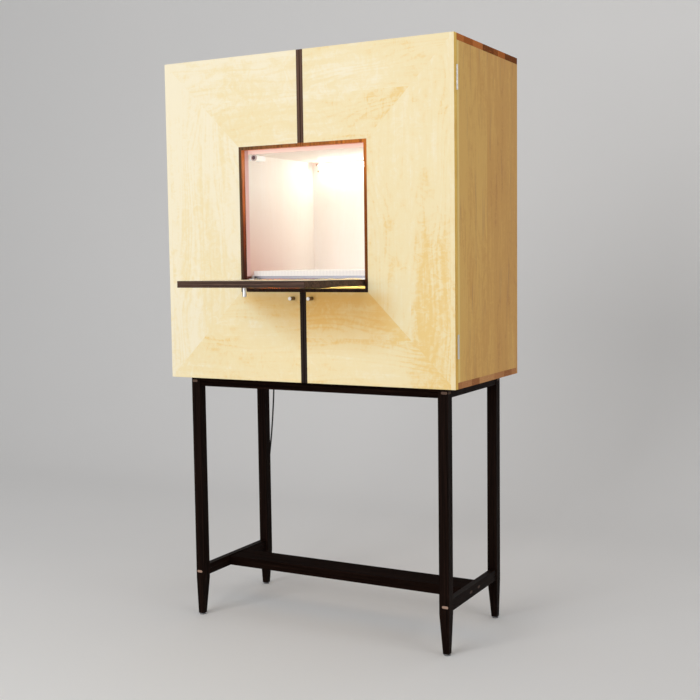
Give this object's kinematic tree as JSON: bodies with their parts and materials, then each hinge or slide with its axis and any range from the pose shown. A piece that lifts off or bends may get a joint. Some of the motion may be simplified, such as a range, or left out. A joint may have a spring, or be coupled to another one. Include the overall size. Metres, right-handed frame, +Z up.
{
  "type": "bar cabinet",
  "caption": "Bar cabinet on a slim open stand: notched doors meet around a lit compartment whose flap folds out as a shelf.",
  "frame": {"origin": "on the floor under the middle of the cabinet with its flap folded out, without the free cord", "axes": "+Z up, +Y from the doors to the back, +X to the right as seen from the front"},
  "size_m": [1.0351, 1.0885, 1.8],
  "materials": {
    "maple_veneer": "satin",
    "maple_solid": "satin",
    "maple_interior": "satin",
    "dark_lipping": "satin",
    "dark_stand": "satin",
    "tenon_wood": "satin",
    "back_board": "matte",
    "steel": "brushed",
    "zinc": "satin",
    "aluminium": "anodised",
    "opal_glass": "frosted",
    "opal_cover": "matte",
    "white_plastic": "matte",
    "black_plastic": "matte",
    "brass": "turned",
    "led_tape": "matte",
    "foot_plastic": "matte",
    "cord_black": "matte"
  },
  "bodies": {
    "cabinet": {"top_board": "maple_solid", "bottom_board": "maple_solid", "left_side_panel": "maple_veneer", "right_side_panel": "maple_veneer", "back_panel": "back_board", "lower_shelf": "maple_interior", "upper_shelf": "maple_interior", "bar_left_wall": "maple_interior", "bar_right_wall": "maple_interior", "bar_back_wall": "maple_interior", "bar_ceiling": "maple_interior", "bar_floor_glass": "opal_glass", "floor_front_profile": "aluminium", "floor_bearers": "maple_interior", "bay_shelves": "maple_interior", "shelf_pins": "steel", "flap_stops": "black_plastic", "flap_pivot_bushes": "brass", "push_latch_housing": "white_plastic", "carcass_hinge_leaves": "zinc", "hinge_pins": "steel", "carcass_hinge_screws": "steel", "door_catches": "white_plastic", "floor_led_strip": "led_tape", "led_bar_housing": "aluminium", "led_bar_diffuser": "opal_cover", "led_driver": "white_plastic", "inner_leads": "cord_black", "front_left_leg": "dark_stand", "front_right_leg": "dark_stand", "back_left_leg": "dark_stand", "back_right_leg": "dark_stand", "front_rail": "dark_stand", "back_rail": "dark_stand", "side_rails": "dark_stand", "side_stretchers": "dark_stand", "long_stretcher": "dark_stand", "exposed_tenons": "tenon_wood", "foot_glides": "foot_plastic", "stand_screws": "steel", "cord_gland": "cord_black", "mains_cord": "cord_black", "cord_coil": "cord_black", "mains_plug": "cord_black"},
    "latch_plunger": {"push_latch_plunger": "black_plastic"},
    "flap": {"flap_panel": "maple_veneer", "flap_lipping": "dark_lipping", "flap_knob": "steel", "flap_lugs": "steel", "flap_strike_plate": "steel"},
    "left_door": {"left_door_panel": "maple_veneer", "left_door_lipping": "dark_lipping", "left_door_knob": "steel", "left_door_hinge_leaves": "zinc", "left_door_fixings": "steel"},
    "right_door": {"right_door_panel": "maple_veneer", "right_door_lipping": "dark_lipping", "right_door_knob": "steel", "right_door_hinge_leaves": "zinc", "right_door_fixings": "steel"}
  },
  "joints": [
    {"name": "left_door", "type": "hinge", "parent": "cabinet", "child": "left_door", "pos_m": [-0.5005, -0.06136, 1.3], "axis": [0, 0, -1], "range_deg": [0, 180]},
    {"name": "right_door", "type": "hinge", "parent": "cabinet", "child": "right_door", "pos_m": [0.5005, -0.06136, 1.3], "axis": [0, 0, 1], "range_deg": [0, 180]},
    {"name": "flap", "type": "hinge", "parent": "cabinet", "child": "flap", "pos_m": [0, -0.03536, 1.1215], "axis": [-1, 0, 0], "range_deg": [0, 89.3]},
    {"name": "latch_plunger", "type": "slide", "parent": "cabinet", "child": "latch_plunger", "axis": [0, 1, 0], "range_m": [0, 0.004], "stiffness_N_per_m": 300, "springref_m": -0.004}
  ]
}
